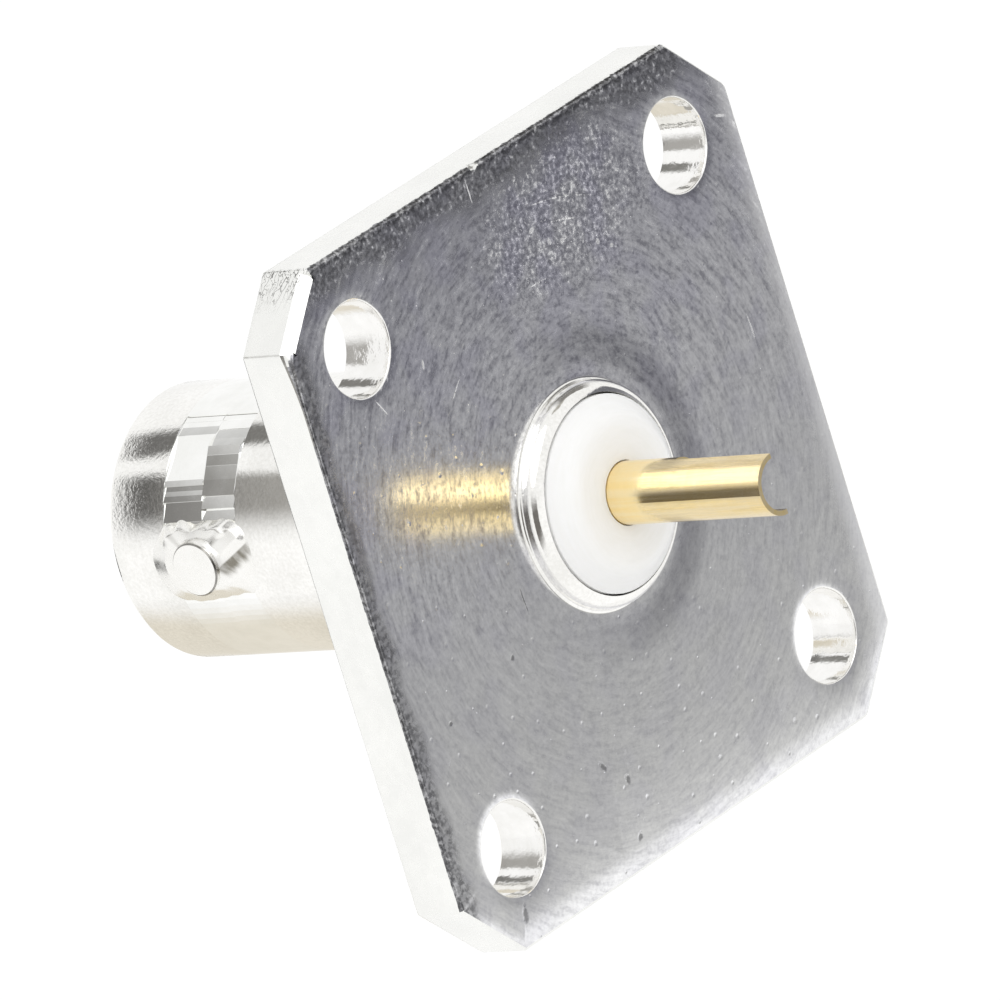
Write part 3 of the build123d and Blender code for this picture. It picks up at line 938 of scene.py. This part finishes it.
# The card that the back face of the flange mirrors. Its tone runs down the height, in mm from
# the middle of the flange's mirror image.
faceFlag = {
    "distance": 45.0, "width": 64.0, "low": -15.5, "high": 26.0,
    "tones": [(-15.5, "#FFFFFF"), (-12.5, "#D5D5D3"), (-10.5, "#BFBFBE"), (-7, "#B7B7B6"), (0, "#ACACAE"),
              (6, "#A2A2A6"), (9, "#98989D"), (12, "#87878D"), (16, "#75757B")],
}
viewTurn = {"azimuth": 132.42, "elevation": 15.48, "roll": -17.21}


# The direction from the part towards something at these degrees
def directionOf(look):
    turn, rise = math.radians(look["azimuth"]), math.radians(look["elevation"])
    return Vector((math.sin(turn) * math.cos(rise), -math.cos(turn) * math.cos(rise), math.sin(rise)))


towardsCamera = directionOf(viewTurn)


# Gives a stage piece its glow and leaves it to the reflections alone
def finishCard(card, material, add, tone):
    add("OutputMaterial", (add("Emission", {"Color": tone, "Strength": 1.0}),))
    setMaterials(card, material)
    card.visible_camera = card.visible_diffuse = card.visible_shadow = False


# A flat piece from a point on its middle line, reaching as far each way along side, and along up
# from low to high
def flatPiece(name, centre, side, up, low, high):
    bm = bmesh.new()
    corners = ((-1, low), (1, low), (1, high), (-1, high))
    bm.faces.new([bm.verts.new(centre + side * sx + up * height) for sx, height in corners])
    return objectFrom(bm, name)


def buildFlag(name, look):
    look = {**commonFlag, **look}
    across, along = look["acrossPoints"], look["alongPoints"]
    start, stop = look["around"][0] - look["spread"][0], look["around"][1] + look["spread"][1]
    bm = bmesh.new()
    rows = []
    for i in range(across + 1):
        turn = math.radians(start + (stop - start) * i / across)
        x, z = look["radius"] * math.cos(turn), look["radius"] * math.sin(turn)
        places = (look["along"][0] + (look["along"][1] - look["along"][0]) * j / along
                  for j in range(along + 1))
        rows.append([bm.verts.new((x, y, z)) for y in places])
    for row, nextRow in zip(rows, rows[1:]):
        for j in range(along):
            bm.faces.new((row[j], nextRow[j], nextRow[j + 1], row[j + 1]))
    flag = objectFrom(bm, name)
    material, add = newMaterial(name + "Card")
    x, y, z = add("SeparateXYZ", (add("TexCoord", out="Object"),)).node.outputs
    angle = add("Math ARCTAN2", (z, x))
    low, high = (math.radians(v) for v in look["around"])
    lowEdge, highEdge = (math.radians(v) for v in look["edges"])
    lowSpread, highSpread = (math.radians(v) for v in look["spread"])
    fromLow = add("Math ADD", (angle, add("MapRange", (y, *mouthSide, lowSpread, 0))))
    fromHigh = add("Math SUBTRACT", (angle, add("MapRange", (y, *mouthSide, highSpread, 0))))
    share = add("Math MINIMUM", (maskOf(add, [(fromLow, low, low + lowEdge, 0, 1)]),
                                 maskOf(add, [(fromHigh, high - highEdge, high, 1, 0)])))
    ends = add("MapRange", (y, *mouthSide, 0, 1))
    tone = add("Mix RGBA", {0: ends, 6: look["tones"][0], 7: look["tones"][1]}, 2)
    finishCard(flag, material, add, add("Mix RGBA", {0: share, 6: "#FFFFFF", 7: tone}, 2))


# How far a point of a card lies along a direction, in mm
def placeAlong(add, direction):
    return add("VectorMath DOT_PRODUCT", (add("TexCoord", out="Object"), direction / mm), "Value")


# A flat card square to its direction, that fades to white towards its edges
def buildCard(name, look):
    towards = Vector(look["towards"]).normalized()
    side = towards.cross(Vector((0, 0, 1))).normalized()
    up = side.cross(towards)
    centre = Vector(look["from"]) + towards * look["distance"]
    halfWidth, halfHeight = look["width"] / 2, look["height"] / 2
    card = flatPiece(name, centre, side * halfWidth, up, -halfHeight, halfHeight)
    material, add = newMaterial(name + "Paper")
    share = 1.0
    for direction, half in ((side, halfWidth), (up, halfHeight)):
        away = add("Math SUBTRACT", (placeAlong(add, direction), centre.dot(direction)))
        away = add("Math ABSOLUTE", (away,))
        inside = maskOf(add, [(away, half * (1 - look["fade"]), half, 1, 0)])
        share = add("Math MINIMUM", (share, inside))
    finishCard(card, material, add, add("Mix RGBA", {0: share, 6: "#FFFFFF", 7: look["tone"]}, 2))


def buildFaceFlag(look):
    mirrored = Vector((-towardsCamera.x, towardsCamera.y, -towardsCamera.z))
    side = (Vector((1, 0, 0)) - mirrored * mirrored.x).normalized()
    up = mirrored.cross(side)
    up *= 1 if up.z > 0 else -1
    centre = Vector((0, bodySizes["thickness"], 0)) + mirrored * look["distance"]
    card = flatPiece("faceFlag", centre, side * look["width"] / 2, up, look["low"], look["high"])
    material, add = newMaterial("faceFlagCard")
    middle = centre.dot(up)
    first, last = look["tones"][0][0], look["tones"][-1][0]
    share = add("MapRange", (placeAlong(add, up), middle + first, middle + last, 0, 1))
    stops = [((height - first) / (last - first), tone) for height, tone in look["tones"]]
    finishCard(card, material, add, add("ValToRGB", (share,), stops=stops))


for name, look in flags.items():
    buildFlag(name, look)
for name, look in cards.items():
    buildCard(name, look)
buildFaceFlag(faceFlag)


# 1 for rays that come straight from the camera or by way of metal or glass, 0 for light that falls
# on something matt
def seenRays(add):
    path = add("LightPath").node.outputs
    mirrored = add("Math MAXIMUM", (path["Is Camera Ray"], path["Is Glossy Ray"]))
    return add("Math MAXIMUM", (mirrored, path["Is Transmission Ray"]))


def buildFloor():
    half = studio["floorSize"] / 2
    middle = Vector((0, 0, -studio["floorBelow"]))
    floor = flatPiece("floor", middle, Vector((half, 0, 0)), Vector((0, 1, 0)), -half, half)
    material, add = newMaterial("white_paper")
    paper = add("BsdfDiffuse", {"Color": studio["floorTone"]})
    white = add("Emission", {"Color": "#FFFFFF", "Strength": studio["floorGlow"]})
    share = add("Math MULTIPLY", (seenRays(add), studio["floorGlowShare"]))
    add("OutputMaterial", (add("MixShader", (share, paper, white)),))
    setMaterials(floor, material)


def buildWorld():
    world = bpy.data.worlds.new("whiteTent")
    world.use_nodes = True
    world.node_tree.nodes.clear()
    add = partial(addNode, world.node_tree)
    strength = add("MapRange", (seenRays(add), 0, 1, studio["worldForDiffuse"], 1.0))
    add("OutputWorld", (add("Background", {"Color": "#FFFFFF", "Strength": strength}),))
    scene.world = world


def buildLamp(name, look):
    lamp = bpy.data.lights.new(name, "AREA")
    lamp.shape = "DISK"
    lamp.size = look["size"] * mm
    lamp.energy = look["watts"]
    obj = bpy.data.objects.new(name, lamp)
    away = directionOf(look)
    obj.location = away * look["distance"] * mm
    obj.rotation_mode = "QUATERNION"
    obj.rotation_quaternion = away.to_track_quat("Z", "Y")
    scene.collection.objects.link(obj)


buildFloor()
buildWorld()
buildLamp("keyLamp", studio["keyLamp"])

# Camera of the photograph: distance, lens and aim are worked out from the flange's outline in it
shot = {"distance": 636.2, "lens": 672.9, "aimRight": -3.257, "aimUp": -0.184}


def buildCamera():
    turn, roll = math.radians(viewTurn["azimuth"]), math.radians(viewTurn["roll"])
    flatRight = Vector((math.cos(turn), math.sin(turn), 0))
    flatUp = towardsCamera.cross(flatRight)
    right = flatRight * math.cos(roll) + flatUp * math.sin(roll)
    up = towardsCamera.cross(right)
    flangeCentre = Vector((0, bodySizes["thickness"], 0))
    place = flangeCentre + towardsCamera * shot["distance"]
    aim = flangeCentre + right * shot["aimRight"] + up * shot["aimUp"]
    back = (place - aim).normalized()
    right = up.cross(back).normalized()
    up = back.cross(right)
    lens = bpy.data.cameras.new("camera")
    lens.lens = shot["lens"]
    lens.sensor_width = 36
    lens.clip_start, lens.clip_end = 0.05, 10
    camera = bpy.data.objects.new("camera", lens)
    camera.matrix_world = Matrix.Translation(place * mm) @ Matrix((right, up, back)).transposed().to_4x4()
    scene.collection.objects.link(camera)
    scene.camera = camera


buildCamera()
print("studio and camera set")
